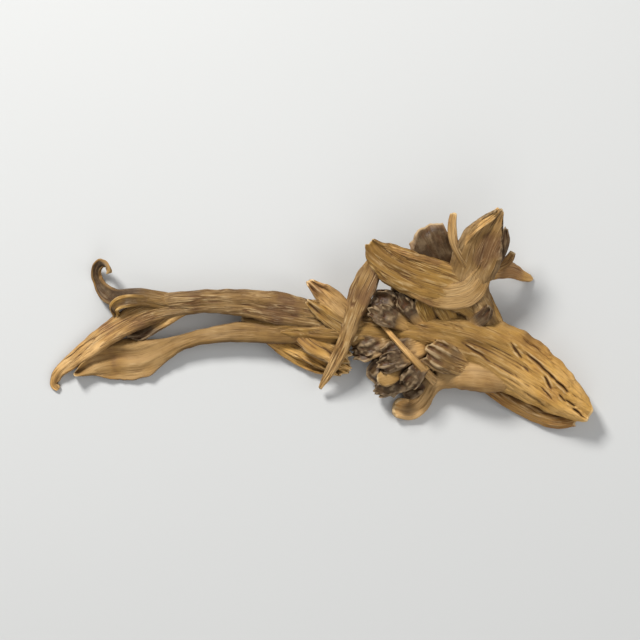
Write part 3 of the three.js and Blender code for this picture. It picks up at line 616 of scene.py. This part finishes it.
def grooveShare(frond, q, v):
    count, depth = frond["grooves"]
    drift = frond["seed"] * 2 + 0.5 * math.sin(5 * v + frond["seed"] * 3)
    broad = 1 - abs(math.sin(math.pi * count * q + drift))
    second = 1 - abs(math.sin(math.pi * (count + 3) * q - 1.7 * drift))
    return depth * (broad + 0.6 * second**2)


def sheetHeight(frond, u, v):
    spread = grown("sheet", v)
    margin = max(u * u, grown("sheetEnd", v) ** 2)
    height = 0.0
    if "pleats" in frond:
        count, rise = frond["pleats"]
        height += rise * spread * math.sin(math.pi * count * u + frond["seed"] * 4)
    if "frill" in frond:
        count, rise = frond["frill"]
        turn = 2 * math.pi * count * (v * 0.7 + 0.35 * u) + frond["seed"] * 5
        height += rise * margin * spread * math.sin(turn)
    return height


def endReach(frond, u, v):
    count, depth = frond["lobes"]
    wave = depth * math.cos(math.pi * count * u + frond["seed"] * 6)
    return grown("end", v) * (-frond["tip"] * u * u + wave)


def fold(value, width):  # 1 in the bottom of a wrinkle, 0 away from it
    return math.exp(-((value / width) ** 2))


def noiseAt(x, y, z):
    return noise.noise(Vector((x, y, z)))


def fissureDepth(name, point):  # how deep a torn frond is at a point of its top, and how much painted shade darkens it there
    deepest = dark = lip = 0.0
    path, across = waves["tearPath"], waves["tearWidth"]
    for x0, y0, x1, y1, width, depth in fissures[name]:
        run = Vector((x1 - x0, y1 - y0))
        reach = Vector((point.x - x0, point.y - y0))
        share = reach.dot(run) / run.length_squared
        if not -0.1 < share < 1.1:
            continue
        away = run.cross(reach) / run.length + tear["wander"] * noiseAt(point.x * path, point.y * path, x0)
        ends = smoothStep(share, -0.1, 0.25) * (1 - smoothStep(share, 0.75, 1.1))
        uneven = width * (1 + tear["uneven"] * noiseAt(point.x * across, point.y * across, y0))
        cut = ends * fold(away, uneven)
        deepest = max(deepest, depth * cut)
        lip = max(lip, tear["lip"] * ends * min(1, depth) * fold(abs(away) - 2.3 * width, 0.9 * width))
        dark = max(dark, tear["dark"] * cut * min(1, depth))
    return deepest - lip, dark


def skinCrease(frond, spot, c, full, patch):  # the wrinkles' depth, the swelling, and where they are coarse
    seed = frond["seed"]
    across = waves["veinAcross"]
    skin = Vector((spot.x * across + seed * 31, spot.y * across, c * waves["veinAlong"]))
    vein = noise.noise(skin)
    coarse = fold(vein, surface["vein"])
    across = waves["fineAcross"]
    fineNoise = noiseAt(skin.x * across, skin.y * across, skin.z * waves["fineAlong"] + 5)
    fine = fold(fineNoise, surface["fineVein"])
    depth = coarse + surface["fineDepth"] * fine - surface["lipHeight"] * fold(vein - 0.17, 0.06)
    crease = frond["crease"] * depth * full * (0.3 + 0.7 * patch)
    across = waves["swellAcross"]
    swellNoise = noiseAt(spot.x * across, spot.y * across + seed, c * waves["swellAlong"])
    return crease, surface["swell"] * frond["crease"] * swellNoise, coarse


def capUnevenness(frond, u, v, c, side, halfWidth):  # a cap's ruffles, lumps and ragged end
    seed = frond["seed"]
    margin = max(u**4, grown("ruffleEnd", v) ** 2) * grown("ruffle", v)
    wave = noiseAt(c * waves["ruffleAlong"], u * waves["ruffleAcross"], seed * 5)
    ruffle = frond["ruffle"] * margin * wave * 2
    torn = noiseAt(u * waves["torn"], seed * 8, 0.5) + 0.3 * noiseAt(u * waves["tornFine"], seed * 8, 3.5)
    ragged = surface["ragged"] * halfWidth * min(1, 5 * frond["ruffle"]) * grown("ragged", v) * torn
    buckle = surface["buckle"] * frond["ruffle"] * grown("buckle", v)
    buckle *= noiseAt(u * waves["buckleAcross"], c * waves["buckleAlong"], seed * 7)
    knob = Vector((side * waves["lump"], c * waves["lump"], seed * 7))
    lump = noise.noise(knob) + surface["fineLump"] * noise.noise(knob * waves["lumpFine"])
    buckle += frond["crumple"] * grown("crumple", v) * lump
    return ruffle, buckle, ragged


def makeFrond(name, row):
    frond = {**usual, **row}
    stations = frond["path"]
    length = sum((Vector(b[:3]) - Vector(a[:3])).length for a, b in zip(stations, stations[1:]))
    girth = max(2 * math.hypot(s[3], s[4]) * 1.05 for s in stations)
    rings = max(surface["fewestRings"], round(length / surface["cellAlong"]))
    columns = max(surface["fewestColumns"], round(girth / surface["cellAcross"]))
    frames = ringFrames(stations, rings)
    seed = frond["seed"]
    rootShade, tipShade, shadeFrom, rimShade, underShare = frond["shade"]
    rootTone, tipTone, toneFrom = frond["tone"]
    bm = bmesh.new()
    bmesh.ops.create_grid(bm, x_segments=columns, y_segments=rings, size=1)
    bmesh.ops.solidify(bm, geom=bm.faces[:], thickness=1)
    made = bm.verts.layers.float.new("made")
    grain = bm.loops.layers.float_vector.new("grain")
    look = bm.loops.layers.float_color.new("look")
    cast = bm.loops.layers.float_color.new("cast")
    values = {}
    for vert in bm.verts:
        u = -math.sin(math.pi / 2 * vert.co.x)
        v = (vert.co.y + 1) / 2
        face = 1 if vert.co.z > -0.5 else -1
        ring = frames[round(v * rings)]
        c = ring["travelled"]
        flatness = min(max(ring["halfWidth"] / ring["halfThick"], 1), 6)
        uneven = 1 + surface["nibble"] * noiseAt(c * waves["nibble"], 3 * u, seed * 9)
        halfWidth = ring["halfWidth"] * uneven
        side, lift, slope = sectionPoint(u, halfWidth, ring["curl"])
        full = math.sqrt(max(0.0, 1 - abs(u) ** (1 + flatness)))
        turn = math.acos(max(-1.0, min(1.0, -u))) / (2 * math.pi)
        q = turn if face > 0 else 1 - turn
        patchNoise = noiseAt(u * waves["patchAcross"], c * waves["patchAlong"], seed * 11)
        patch = smoothStep(patchNoise, -0.35, 0.4)
        groove = grooveShare(frond, q, v) * (0.35 + 0.5 * patch)
        thick = surface["rim"] + (ring["halfThick"] - surface["rim"]) * full * (1 - groove)
        spot = Vector((side, face * thick, c))
        crease, swell, coarse = skinCrease(frond, spot, c, full, patch)
        ruffle, buckle, ragged = capUnevenness(frond, u, v, c, side, halfWidth)
        droop = frond["droop"] * grown("droop", v) ** 2
        height = lift + sheetHeight(frond, u, v) + ruffle + buckle - droop
        thick = max(thick - crease + swell * full, surface["rim"]) * face
        place = ring["place"].copy()
        place += ring["across"] * (side * (1 - 0.5 * groove * u**4) - thick * math.sin(slope))
        place += ring["up"] * (height + thick * math.cos(slope))
        place += ring["along"] * (endReach(frond, u, v) + ragged)
        dark = 0.0
        if name in fissures and face > 0:
            depth, dark = fissureDepth(name, place)
            place -= ring["up"] * depth * full
        # painted shade: darker along the bare margins, in the fissures and in the bottoms of the coarse
        # wrinkles
        edge = smoothStep(abs(u), 0.84, 0.98) * (0.5 + noiseAt(c * waves["edge"], u, seed * 3))
        paintedShade = min(1.0, dark + 0.5 * coarse * full * patch + surface["marginShade"] * edge)
        shade = rootShade + (tipShade - rootShade) * smoothStep(v, shadeFrom, shadeFrom + 0.25)
        rim = max(smoothStep(abs(u), 0.7, 1), grown("rimEnd", v)) * grown("rim", v)
        shade += (rimShade - shade) * rim
        if face < 0:
            shade *= underShare
        thin = smoothStep(flatness, 2.2, 4) * grown("thin", v)
        tone = rootTone + (tipTone - rootTone) * smoothStep(v, toneFrom, toneFrom + 0.3)
        values[vert.index] = (
            (spot.x + 50 * seed, spot.y, c),
            (shade, paintedShade, frond["gold"], rim * thin),
            (thin if face < 0 else 0.0, tone, frond["russet"], frond["lined"]),
        )
        vert[made] = 1.0
        vert.co = place
    for f in bm.faces:
        f.smooth = True
        for loop in f.loops:
            loop[grain], loop[look], loop[cast] = values[loop.vert.index]
    mesh = bpy.data.meshes.new(name)
    bm.to_mesh(mesh)
    bm.free()
    return bpy.data.objects.new(name, mesh)


def uniteFronds(name):  # one mesh of all the fronds, cut where they meet
    grown = bpy.data.collections.new("grown")
    bpy.context.scene.collection.children.link(grown)
    base = None
    for key, frond in fronds.items():
        piece = makeFrond(key, frond)
        if base is None:
            base = piece
            bpy.context.scene.collection.objects.link(base)
        else:
            grown.objects.link(piece)
    union = base.modifiers.new("grow", "BOOLEAN")
    union.operation = "UNION"
    union.operand_type = "COLLECTION"
    union.collection = grown
    union.solver = "MANIFOLD"
    ready = base.evaluated_get(bpy.context.evaluated_depsgraph_get())
    mesh = bpy.data.meshes.new_from_object(ready)
    mesh.name = name
    for piece in list(grown.objects) + [base]:
        spare = piece.data
        bpy.data.objects.remove(piece)
        bpy.data.meshes.remove(spare)
    bpy.data.collections.remove(grown)
    return mesh


def joinFronds(name):  # all fronds grown together in one closed skin, its joins rounded
    mesh = uniteFronds(name)
    bm = bmesh.new()
    bm.from_mesh(mesh)
    made = bm.verts.layers.float["made"]
    zone = {vert for vert in bm.verts if vert[made] < 0.5}
    print("points where fronds meet:", len(zone))
    for turn in range(surface["weldRings"]):
        zone |= {edge.other_vert(vert) for vert in zone for edge in vert.link_edges}
    for turn in range(surface["weldTurns"]):
        bmesh.ops.smooth_laplacian_vert(
            bm, verts=list(zone), lambda_factor=surface["weldSpread"], lambda_border=0,
            use_x=True, use_y=True, use_z=True, preserve_volume=False,
        )
    bmesh.ops.scale(bm, vec=(mm, mm, mm), verts=bm.verts)
    for vert in bm.verts:
        vert.co.z = max(vert.co.z, 0.0)
    for f in bm.faces:
        f.smooth = True
    print("open edges:", sum(len(edge.link_faces) != 2 for edge in bm.edges))
    print("triangles:", sum(len(f.verts) - 2 for f in bm.faces))
    bm.to_mesh(mesh)
    bm.free()
    piece = bpy.data.objects.new(name, mesh)
    bpy.context.scene.collection.objects.link(piece)
    return piece


def keepMeasure(mesh, name, values):
    mesh.attributes.new(name, "FLOAT", "POINT").data.foreach_set("value", values)


def readAll(items, name, width, kind=float):
    values = numpy.empty(len(items) * width, dtype=kind)
    items.foreach_get(name, values)
    return values.reshape(-1, width) if width > 1 else values


def neighbourMean(mesh, values):  # the mean of the neighbours' values at each point
    ends = readAll(mesh.edges, "vertices", 2, int)
    count = len(mesh.vertices)
    mean = numpy.empty_like(values)
    share = numpy.bincount(ends.ravel(), minlength=count)
    for k in range(values.shape[1]):
        both = numpy.bincount(ends[:, 0], values[ends[:, 1], k], count)
        mean[:, k] = (both + numpy.bincount(ends[:, 1], values[ends[:, 0], k], count)) / share
    return mean


def blendColours(mesh, name, turns):  # from the faces' corners to the points, evened out
    corner = readAll(mesh.attributes[name].data, "color", 4)
    owner = readAll(mesh.loops, "vertex_index", 1, int)
    share = numpy.bincount(owner)
    values = numpy.stack([numpy.bincount(owner, corner[:, k]) / share for k in range(4)], axis=1)
    for turn in range(turns):
        values = (values + neighbourMean(mesh, values)) / 2
    return values


def measureRelief(mesh):  # mm that each point stands out of the same skin smoothed, below 0 in a hollow
    places = readAll(mesh.vertices, "co", 3)
    smooth = places.copy()
    for turn in range(surface["reliefTurns"]):
        smooth = (smooth + neighbourMean(mesh, smooth)) / 2
    return ((places - smooth) * readAll(mesh.vertex_normals, "vector", 3)).sum(axis=1) / mm


def measureShelter(mesh):  # share of the sky over each point that other parts of the skin hide
    tree = BVHTree.FromPolygons([v.co for v in mesh.vertices], [f.vertices for f in mesh.polygons])
    goldenTurn = 2.39996  # radians, spreads the rays evenly
    rays = []
    for k in range(surface["shelterRays"]):
        height = 1 - (k + 0.5) / surface["shelterRays"]
        turn = k * goldenTurn
        level = math.sqrt(1 - height * height)
        rays.append(Vector((math.cos(turn) * level, math.sin(turn) * level, height)))
    shares = []
    reach = surface["shelterReach"] * mm
    for vert in mesh.vertices:
        facing = Vector((0, 0, 1)).rotation_difference(vert.normal)
        start = vert.co + vert.normal * 0.05 * mm
        hidden = 0.0
        for ray in rays:
            distance = tree.ray_cast(start, facing @ ray, reach)[3]
            if distance is not None:
                hidden += 1 - 0.6 * distance / reach
        shares.append(hidden / len(rays))
    return shares


maitake = joinFronds("maitakeSkin")
print("fronds joined")
hues = blendColours(maitake.data, "look", surface["colourTurns"])
casts = blendColours(maitake.data, "cast", surface["colourTurns"])
cuts = blendColours(maitake.data, "look", 1)
for name, values in (
    ("dark", hues[:, 0]), ("gold", hues[:, 2]), ("rim", cuts[:, 3]), ("paintedShade", cuts[:, 1]),
    ("under", casts[:, 0]), ("tone", casts[:, 1]), ("russet", casts[:, 2]), ("lined", casts[:, 3]),
):
    keepMeasure(maitake.data, name, values)
maitake.data.attributes.remove(maitake.data.attributes["look"])
maitake.data.attributes.remove(maitake.data.attributes["cast"])
# the relief paints a highlight where the skin stands out and shade where it sinks
keepMeasure(maitake.data, "ridge", measureRelief(maitake.data))
# the share of sky that other parts hide darkens the colour as painted shade
keepMeasure(maitake.data, "shelterShade", measureShelter(maitake.data))
print("relief measured")

flesh = {
    "tan": (0.60, 0.368, 0.150, 1),
    "honey": (0.45, 0.252, 0.082, 1),
    "umber": (0.28, 0.142, 0.060, 1),
    "gold": (0.45, 0.238, 0.032, 1),
    "russet": (0.17, 0.060, 0.020, 1),
    # dark lines along the grain; the same colour is painted shade where the skin is sunk
    "line": (0.090, 0.036, 0.012, 1),
    # painted shade, laid in fissures, wrinkles and along margins, and where other parts hide the sky
    "paintedShade": (0.040, 0.015, 0.005, 1),
    # painted highlight, laid where the skin stands out and on the lips beside the vein lines
    "ridge": (0.82, 0.61, 0.33, 1),
    "capDark": (0.050, 0.026, 0.009, 1),
    "capGrey": (0.122, 0.078, 0.038, 1),
    "capEdge": (0.40, 0.28, 0.155, 1),
    "cream": (0.56, 0.39, 0.185, 1),
    "fibreDark": (0.66, 0.58, 0.50, 1),
    "fibreLight": (1.22, 1.24, 1.30, 1),
}
texture = {
    "broad": 110,  # waves to a metre
    "patches": 300,
    "dust": 2600,
    "pores": 1500,
    "veins": (0.75, 0.75, 0.045),  # waves to a mm across the grain, through it and along it
    "wrinkles": (1.5, 1.5, 0.10),
    "fibres": (3.2, 3.2, 0.16),
    "bump": 0.6,
    "bumpDepth": 0.25,  # mm
    "gloss": 0.22,
}
strength = {  # how much of its colour each mark lays over the flesh
    "gold": 0.85,
    "under": 0.5,
    "rim": 0.7,
    # a painted highlight on the lips beside the vein lines
    "lip": 0.34,
    "line": 0.9,
    "wrinkle": 0.8,
    # painted highlight where the skin stands out, and painted shade where it is sunk
    "raisedHighlight": 0.5,
    "sunkShade": 0.8,
    # painted shade: in fissures, wrinkles and margins, and where other parts hide the sky
    "paintedShade": 0.9,
    "shelterShade": 0.85,
}


def setSocket(tree, socket, value):  # a link where the value is another node's, or else a constant
    if isinstance(value, bpy.types.NodeSocket):
        tree.links.new(value, socket)
    else:
        socket.default_value = value


def addNode(tree, kind, settings=None, **inputs):
    node = tree.nodes.new("ShaderNode" + kind)
    for key, value in (settings or {}).items():
        setattr(node, key, value)
    for key, value in inputs.items():
        setSocket(tree, node.inputs[key], value)
    return node


def mixColour(tree, factor, first, second, blend="MIX"):
    node = addNode(tree, "Mix", {"data_type": "RGBA", "blend_type": blend})
    for socket, value in zip((node.inputs[0], node.inputs[6], node.inputs[7]), (factor, first, second)):
        setSocket(tree, socket, value)
    return node.outputs[2]


def rampOf(tree, value, *stops):  # pairs of a place and a colour or a grey
    node = addNode(tree, "ValToRGB")
    setSocket(tree, node.inputs[0], value)
    band = node.color_ramp
    while len(band.elements) < len(stops):
        band.elements.new(0.5)
    for stop, (place, colour) in zip(band.elements, stops):
        stop.position = place
        stop.color = colour if isinstance(colour, tuple) else (colour, colour, colour, 1)
    return node.outputs[0]


def maths(tree, operation, first, second=0):
    node = addNode(tree, "Math", {"operation": operation})
    setSocket(tree, node.inputs[0], first)
    setSocket(tree, node.inputs[1], second)
    return node.outputs[0]


def times(tree, first, second):
    return maths(tree, "MULTIPLY", first, second)


def plus(tree, first, second):
    return maths(tree, "ADD", first, second)


def noiseOf(tree, vector, scale, detail, roughness=0.5):
    node = addNode(tree, "TexNoise", Vector=vector, Scale=scale, Detail=detail, Roughness=roughness)
    return node.outputs[0]


def grainNoise(tree, grain, stretch, detail, roughness=0.5):
    node = addNode(tree, "Mapping", Vector=grain, Scale=stretch)
    return noiseOf(tree, node.outputs[0], 1, detail, roughness)


def fromMiddle(tree, value):
    return maths(tree, "ABSOLUTE", maths(tree, "SUBTRACT", value, 0.5))


def fleshMaterial(name):
    material = bpy.data.materials.new(name)
    material.use_nodes = True
    tree = material.node_tree
    tree.nodes.clear()
    place = addNode(tree, "TexCoord").outputs["Object"]
    grain = addNode(tree, "Attribute", {"attribute_name": "grain"}).outputs["Vector"]
    dark, paintedShade, gold, rim, under, tone, russet, lined, ridge, shelterShade = (
        addNode(tree, "Attribute", {"attribute_name": key}).outputs["Fac"]
        for key in ("dark", "paintedShade", "gold", "rim", "under", "tone", "russet", "lined", "ridge", "shelterShade")
    )

    broad = noiseOf(tree, place, texture["broad"], 3)
    patches = noiseOf(tree, place, texture["patches"], 4, 0.6)
    veins = grainNoise(tree, grain, texture["veins"], 2)
    wrinkles = grainNoise(tree, grain, texture["wrinkles"], 2)
    fibres = grainNoise(tree, grain, texture["fibres"], 4, 0.6)
    dust = noiseOf(tree, place, texture["dust"], 2)
    pores = addNode(tree, "TexVoronoi", Vector=place, Scale=texture["pores"]).outputs["Distance"]

    # the flesh's own colour, and the caps' dark skin over it
    base = rampOf(tree, broad, (0.36, flesh["umber"]), (0.47, flesh["honey"]), (0.62, flesh["tan"]))
    base = mixColour(tree, times(tree, gold, strength["gold"]), base, flesh["gold"])
    base = mixColour(tree, russet, base, flesh["russet"])
    base = mixColour(tree, times(tree, under, strength["under"]), base, flesh["cream"])
    base = mixColour(tree, 1.0, base, tone, "MULTIPLY")
    capColour = rampOf(tree, patches, (0.42, flesh["capDark"]), (0.64, flesh["capGrey"]))
    paleRim = times(tree, times(tree, rim, rim), strength["rim"])
    capColour = mixColour(tree, paleRim, capColour, flesh["capEdge"])
    darkPatch = rampOf(tree, plus(tree, dark, times(tree, patches, 0.5)), (0.42, 0.0), (1.05, 1.0))
    base = mixColour(tree, darkPatch, base, capColour)

    # fibres, then the lines along the grain, with a painted highlight on their lips
    fibreTone = rampOf(tree, fibres, (0.30, flesh["fibreDark"]), (0.50, 1.0), (0.70, flesh["fibreLight"]))
    base = mixColour(tree, rampOf(tree, broad, (0.36, 0.9), (0.60, 0.35)), base, fibreTone, "MULTIPLY")
    apart = fromMiddle(tree, veins)
    where = times(tree, rampOf(tree, patches, (0.40, 0.15), (0.58, 1.0)), lined)
    veinLine = times(tree, rampOf(tree, apart, (0.008, 1.0), (0.030, 0.0)), where)
    # the lips beside the lines, raised in the bump and given a painted highlight
    veinLip = times(tree, rampOf(tree, apart, (0.026, 0.0), (0.045, 1.0), (0.085, 0.0)), where)
    thinly = times(tree, rampOf(tree, patches, (0.40, 0.8), (0.60, 0.2)), lined)
    wrinkleLine = times(tree, rampOf(tree, fromMiddle(tree, wrinkles), (0.0, 1.0), (0.040, 0.0)), thinly)
    # painted highlight colour; on the dark caps it takes their edge colour
    paintedHighlight = mixColour(tree, darkPatch, flesh["ridge"], flesh["capEdge"])
    for mark, colour in (  # after the lines: painted highlight where it stands out, painted shade where sunk or sheltered
        (times(tree, veinLip, strength["lip"]), paintedHighlight),
        (times(tree, veinLine, strength["line"]), flesh["line"]),
        (times(tree, wrinkleLine, strength["wrinkle"]), flesh["line"]),
        (rampOf(tree, ridge, (0.06, 0.0), (0.22, strength["raisedHighlight"])), paintedHighlight),
        (rampOf(tree, times(tree, ridge, -1), (0.035, 0.0), (0.17, strength["sunkShade"])), flesh["line"]),
        (times(tree, paintedShade, strength["paintedShade"]), flesh["paintedShade"]),
        (rampOf(tree, shelterShade, (0.30, 0.0), (0.85, strength["shelterShade"])), flesh["paintedShade"]),
    ):
        base = mixColour(tree, mark, base, colour)

    rough = rampOf(tree, plus(tree, fibres, times(tree, dark, -0.35)), (0.1, 0.42), (0.7, 0.78))
    pits = times(tree, pores, under)
    relief = times(tree, fibres, 0.9)
    for mark, height in ((dust, 0.25), (pits, 0.6), (veinLine, -1.4), (veinLip, 0.7), (wrinkleLine, -1)):
        relief = plus(tree, relief, times(tree, mark, height))
    bump = addNode(tree, "Bump", Height=relief, Strength=texture["bump"], Distance=texture["bumpDepth"] * mm)
    skin = addNode(tree, "BsdfPrincipled", Roughness=rough, Normal=bump.outputs[0])
    setSocket(tree, skin.inputs["Base Color"], base)
    skin.inputs["Specular IOR Level"].default_value = texture["gloss"]
    addNode(tree, "OutputMaterial", Surface=skin.outputs[0])
    return material


maitake.data.materials.clear()
maitake.data.materials.append(fleshMaterial("driedFlesh"))
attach(maitake, "root")
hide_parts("maitake")
print("flesh coloured")

studio = {
    "floor": 4.0,  # m across
    "floorColour": (0.53, 0.53, 0.515, 1),
    "floorCloud": 0.985,  # its darker patches, as a share of its colour
    "lens": 100,
    "fill": 0.86,  # share of the picture's width that the piece takes
    "lights": (  # name, place, size in m and power
        ("keyLight", (-0.28, 0.46, 0.44), 0.16, 6.4),
        ("fillLight", (0.50, 0.05, 0.50), 0.50, 1.5),
        ("frontLight", (0.05, -0.60, 0.50), 0.60, 1.3),
    ),
    "roomColour": (0.93, 0.95, 1.0, 1),
    "roomLight": 0.34,
}


def floorMaterial(name):
    material = bpy.data.materials.new(name)
    material.use_nodes = True
    tree = material.node_tree
    skin = tree.nodes["Principled BSDF"]
    place = addNode(tree, "TexCoord").outputs["Object"]
    colour = studio["floorColour"]
    cloud = tuple(share * studio["floorCloud"] for share in colour[:3]) + (1,)
    soft = rampOf(tree, noiseOf(tree, place, 6, 2), (0.3, colour), (0.7, cloud))
    setSocket(tree, skin.inputs["Base Color"], soft)
    skin.inputs["Roughness"].default_value = 0.85
    skin.inputs["Specular IOR Level"].default_value = 0.2
    return material


def layFloor():
    bm = bmesh.new()
    bmesh.ops.create_grid(bm, x_segments=1, y_segments=1, size=studio["floor"] / 2)
    mesh = bpy.data.meshes.new("floor")
    bm.to_mesh(mesh)
    bm.free()
    floor = bpy.data.objects.new("floor", mesh)
    bpy.context.scene.collection.objects.link(floor)
    mesh.materials.append(floorMaterial("paleFloor"))
    floor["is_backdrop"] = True


def hangLights():
    for name, place, size, power in studio["lights"]:
        light = bpy.data.lights.new(name, "AREA")
        light.size = size
        light.energy = power
        lamp = bpy.data.objects.new(name, light)
        lamp.location = place
        lamp.rotation_euler = (-Vector(place)).to_track_quat("-Z", "Y").to_euler()
        bpy.context.scene.collection.objects.link(lamp)
    world = bpy.data.worlds.new("softRoom")
    world.use_nodes = True
    background = world.node_tree.nodes["Background"]
    background.inputs["Color"].default_value = studio["roomColour"]
    background.inputs["Strength"].default_value = studio["roomLight"]
    bpy.context.scene.world = world
    bpy.context.scene.view_settings.view_transform = "Standard"


def placeCamera():  # straight above, as the photograph looks at it
    low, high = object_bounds()
    view = bpy.data.cameras.new("camera")
    view.lens = studio["lens"]
    camera = bpy.data.objects.new("camera", view)
    across = (high.x - low.x) / studio["fill"]
    middle = (low + high) / 2
    camera.location = (middle.x, middle.y, high.z / 2 + across * view.lens / view.sensor_width)
    bpy.context.scene.collection.objects.link(camera)
    bpy.context.scene.camera = camera


layFloor()
hangLights()
placeCamera()
print("studio ready")
